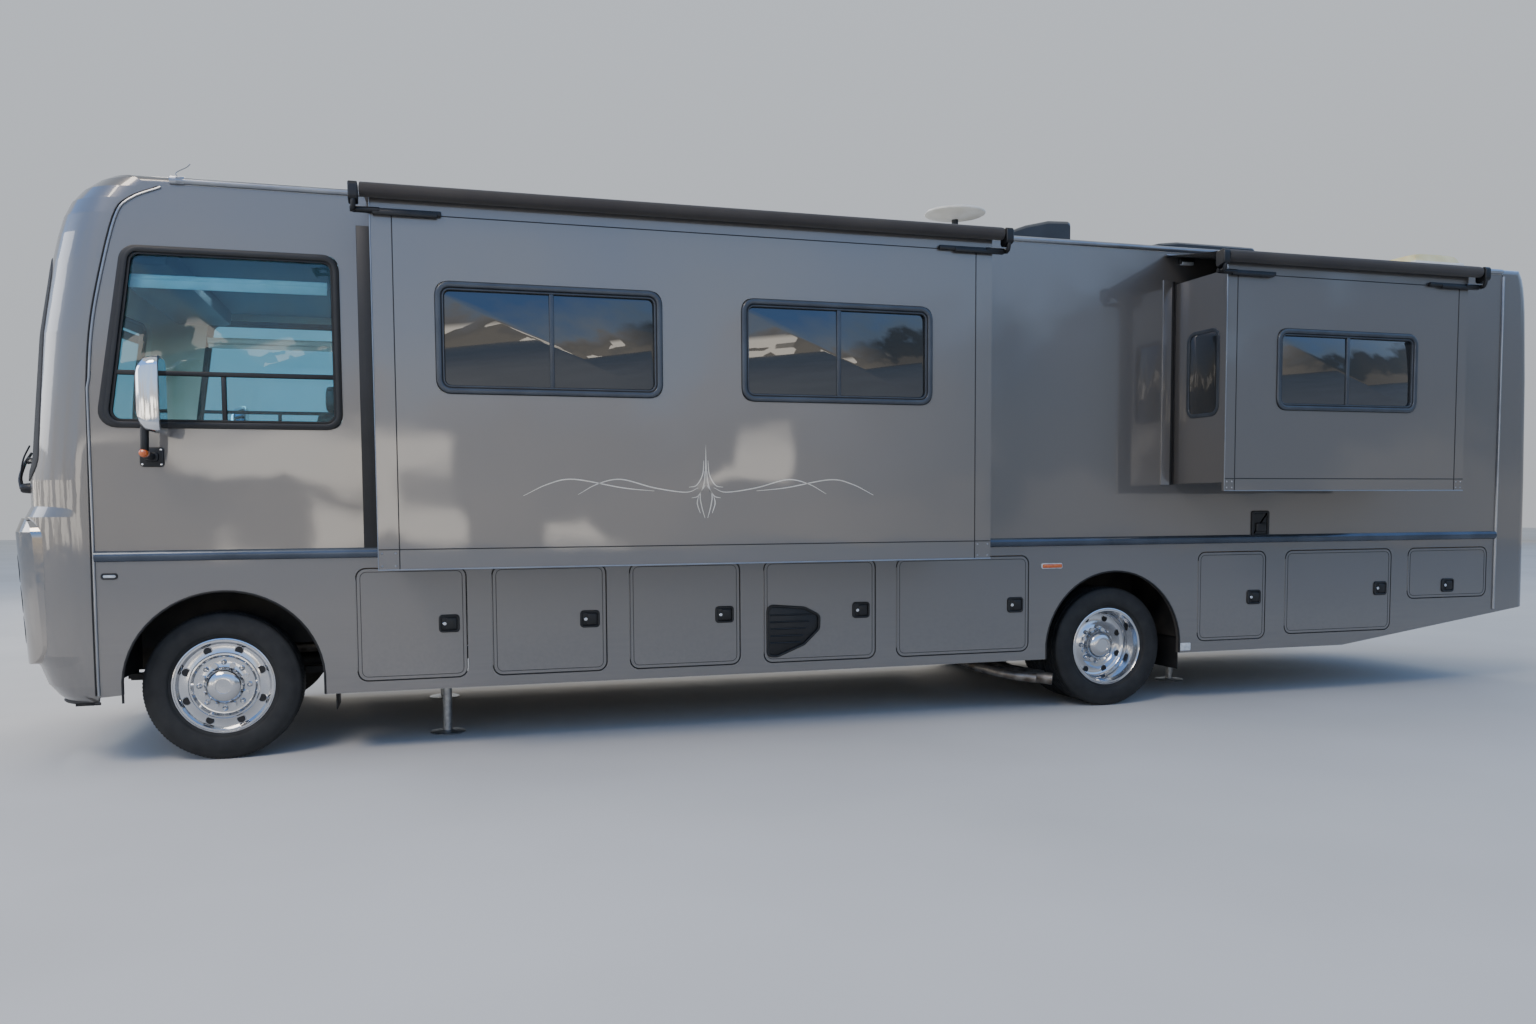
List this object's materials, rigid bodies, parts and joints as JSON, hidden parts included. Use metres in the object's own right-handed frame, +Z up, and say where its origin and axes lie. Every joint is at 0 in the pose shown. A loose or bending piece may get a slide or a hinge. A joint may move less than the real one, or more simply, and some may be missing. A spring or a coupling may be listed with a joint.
{
  "type": "motorhome",
  "caption": "Class A motorhome with two drawn-out slide rooms, side bays, steering wheels, twin rear wheels and levelling jacks.",
  "frame": {"origin": "on the ground, below the middle of the box round the whole coach", "axes": "+X towards the front of the coach, +Y towards its left side, +Z up"},
  "size_m": [10.647, 3.632, 3.652],
  "materials": {
    "body_paint": "glossy metallic pewter paint",
    "roof_membrane": "matte membrane",
    "glass": "tinted",
    "lamp_lens": "clear lens",
    "chrome": "bright",
    "dark_plastic": "moulded",
    "pale_plastic": "moulded",
    "black_metal": "satin black",
    "topper_fabric": "woven, coated",
    "floor_board": "satin board",
    "galvanised_sheet": "galvanised",
    "black_sheet": "matte black",
    "frame_paint": "satin black",
    "engine_iron": "as cast",
    "exhaust_steel": "weathered",
    "tyre_rubber": "matte",
    "polished_steel": "polished",
    "seat_vinyl": "grained"
  },
  "bodies": {
    "root": {"air_conditioners": "dark_plastic", "bedroom_slide_topper_fabric": "topper_fabric", "belt_mouldings": "body_paint", "cab_seats": "seat_vinyl", "cabin_floor": "floor_board", "chassis_frame": "frame_paint", "dash": "dark_plastic", "engine_block": "engine_iron", "exhaust": "exhaust_steel", "frame_fittings": "frame_paint", "front_axle": "frame_paint", "front_cap": "body_paint", "fuel_tank": "black_sheet", "grille": "chrome", "lamps": "lamp_lens", "left_skirt": "body_paint", "left_wall": "body_paint", "main_slide_topper_fabric": "topper_fabric", "mirrors": "chrome", "patio_awning": "black_metal", "rear_axle": "frame_paint", "rear_cap": "body_paint", "right_skirt": "body_paint", "right_wall": "body_paint", "roof": "roof_membrane", "roof_fittings": "pale_plastic", "side_windows": "glass", "storage_bays": "galvanised_sheet", "wheel_wells": "black_sheet", "windshield": "glass"},
    "main_slide": {"main_slide_room": "body_paint", "main_slide_windows": "glass", "main_slide_topper": "black_metal"},
    "bedroom_slide": {"bedroom_slide_room": "body_paint", "bedroom_slide_windows": "glass", "bedroom_slide_topper": "black_metal"},
    "left_steer": {"left_knuckle": "engine_iron"},
    "right_steer": {"right_knuckle": "engine_iron"},
    "front_left_wheel": {"front_left_tyre": "tyre_rubber", "front_left_wheel": "polished_steel"},
    "front_right_wheel": {"front_right_tyre": "tyre_rubber", "front_right_wheel": "polished_steel"},
    "rear_left_wheels": {"rear_left_tyres": "tyre_rubber", "rear_left_wheels": "polished_steel"},
    "rear_right_wheels": {"rear_right_tyres": "tyre_rubber", "rear_right_wheels": "polished_steel"},
    "entry_door": {"entry_door": "body_paint"},
    "front_jacks": {"front_jack_legs": "galvanised_sheet"},
    "rear_jacks": {"rear_jack_legs": "galvanised_sheet"},
    "left_bay_door_1": {"left_bay_door_1": "body_paint"},
    "left_bay_door_2": {"left_bay_door_2": "body_paint"},
    "left_bay_door_3": {"left_bay_door_3": "body_paint"},
    "left_bay_door_4": {"left_bay_door_4": "body_paint"},
    "left_bay_door_5": {"left_bay_door_5": "body_paint"},
    "left_bay_door_6": {"left_bay_door_6": "body_paint"},
    "left_bay_door_7": {"left_bay_door_7": "body_paint"},
    "left_bay_door_8": {"left_bay_door_8": "body_paint"},
    "right_bay_door_1": {"right_bay_door_1": "body_paint"},
    "right_bay_door_2": {"right_bay_door_2": "body_paint"},
    "right_bay_door_3": {"right_bay_door_3": "body_paint"}
  },
  "joints": [
    {"name": "main_slide_travel", "type": "slide", "parent": "root", "child": "main_slide", "axis": [0, -1, 0], "range_m": [0, 0.585], "deforming": ["main_slide_topper_fabric"]},
    {"name": "bedroom_slide_travel", "type": "slide", "parent": "root", "child": "bedroom_slide", "axis": [0, -1, 0], "range_m": [0, 0.585], "deforming": ["bedroom_slide_topper_fabric"]},
    {"name": "left_steering", "type": "hinge", "parent": "root", "child": "left_steer", "pos_m": [4.235, 0.709, 0.425], "axis": [0, 0, 1], "range_deg": [-40, 40]},
    {"name": "front_left_wheel_spin", "type": "hinge", "parent": "left_steer", "child": "front_left_wheel", "pos_m": [4.235, 0.862, 0.425], "axis": [0, 1, 0], "continuous": true},
    {"name": "rear_left_wheels_spin", "type": "hinge", "parent": "root", "child": "rear_left_wheels", "pos_m": [-1.556, 0.892, 0.425], "axis": [0, 1, 0], "continuous": true},
    {"name": "right_steering", "type": "hinge", "parent": "root", "child": "right_steer", "pos_m": [4.235, -1.091, 0.425], "axis": [0, 0, 1], "range_deg": [-40, 40]},
    {"name": "front_right_wheel_spin", "type": "hinge", "parent": "right_steer", "child": "front_right_wheel", "pos_m": [4.235, -1.244, 0.425], "axis": [0, 1, 0], "continuous": true},
    {"name": "rear_right_wheels_spin", "type": "hinge", "parent": "root", "child": "rear_right_wheels", "pos_m": [-1.556, -1.274, 0.425], "axis": [0, 1, 0], "continuous": true},
    {"name": "left_bay_door_1_swing", "type": "hinge", "parent": "root", "child": "left_bay_door_1", "pos_m": [3.4982, 1.104, 0.763], "axis": [0, 0, -1], "range_deg": [0, 100]},
    {"name": "left_bay_door_2_swing", "type": "hinge", "parent": "root", "child": "left_bay_door_2", "pos_m": [2.7322, 1.104, 0.763], "axis": [0, 0, -1], "range_deg": [0, 100]},
    {"name": "left_bay_door_3_swing", "type": "hinge", "parent": "root", "child": "left_bay_door_3", "pos_m": [1.9052, 1.104, 0.763], "axis": [0, 0, -1], "range_deg": [0, 100]},
    {"name": "left_bay_door_4_swing", "type": "hinge", "parent": "root", "child": "left_bay_door_4", "pos_m": [1.0402, 1.104, 0.763], "axis": [0, 0, -1], "range_deg": [0, 100]},
    {"name": "left_bay_door_5_swing", "type": "hinge", "parent": "root", "child": "left_bay_door_5", "pos_m": [0.1232, 1.104, 0.763], "axis": [0, 0, -1], "range_deg": [0, 100]},
    {"name": "left_bay_door_6_swing", "type": "hinge", "parent": "root", "child": "left_bay_door_6", "pos_m": [-2.2248, 1.104, 0.77], "axis": [0, 0, -1], "range_deg": [0, 100]},
    {"name": "left_bay_door_7_swing", "type": "hinge", "parent": "root", "child": "left_bay_door_7", "pos_m": [-2.9828, 1.104, 0.7825], "axis": [0, 0, -1], "range_deg": [0, 100]},
    {"name": "left_bay_door_8_swing", "type": "hinge", "parent": "root", "child": "left_bay_door_8", "pos_m": [-4.1168, 1.104, 0.898], "axis": [0, 0, -1], "range_deg": [0, 100]},
    {"name": "right_bay_door_1_swing", "type": "hinge", "parent": "root", "child": "right_bay_door_1", "pos_m": [1.2372, -1.486, 0.763], "axis": [0, 0, 1], "range_deg": [0, 100]},
    {"name": "right_bay_door_2_swing", "type": "hinge", "parent": "root", "child": "right_bay_door_2", "pos_m": [0.0472, -1.486, 0.763], "axis": [0, 0, 1], "range_deg": [0, 100]},
    {"name": "right_bay_door_3_swing", "type": "hinge", "parent": "root", "child": "right_bay_door_3", "pos_m": [-2.9828, -1.486, 0.7825], "axis": [0, 0, 1], "range_deg": [0, 100]},
    {"name": "entry_door_swing", "type": "hinge", "parent": "root", "child": "entry_door", "pos_m": [2.2822, -1.486, 1.58], "axis": [0, 0, 1], "range_deg": [0, 100]},
    {"name": "front_jacks_lift", "type": "slide", "parent": "root", "child": "front_jacks", "axis": [0, 0, 1], "range_m": [0, 0.3]},
    {"name": "rear_jacks_lift", "type": "slide", "parent": "root", "child": "rear_jacks", "axis": [0, 0, 1], "range_m": [0, 0.3]}
  ],
  "couplings": [
    {"joint": "right_steering", "follows": "left_steering", "ratio": 1}
  ]
}
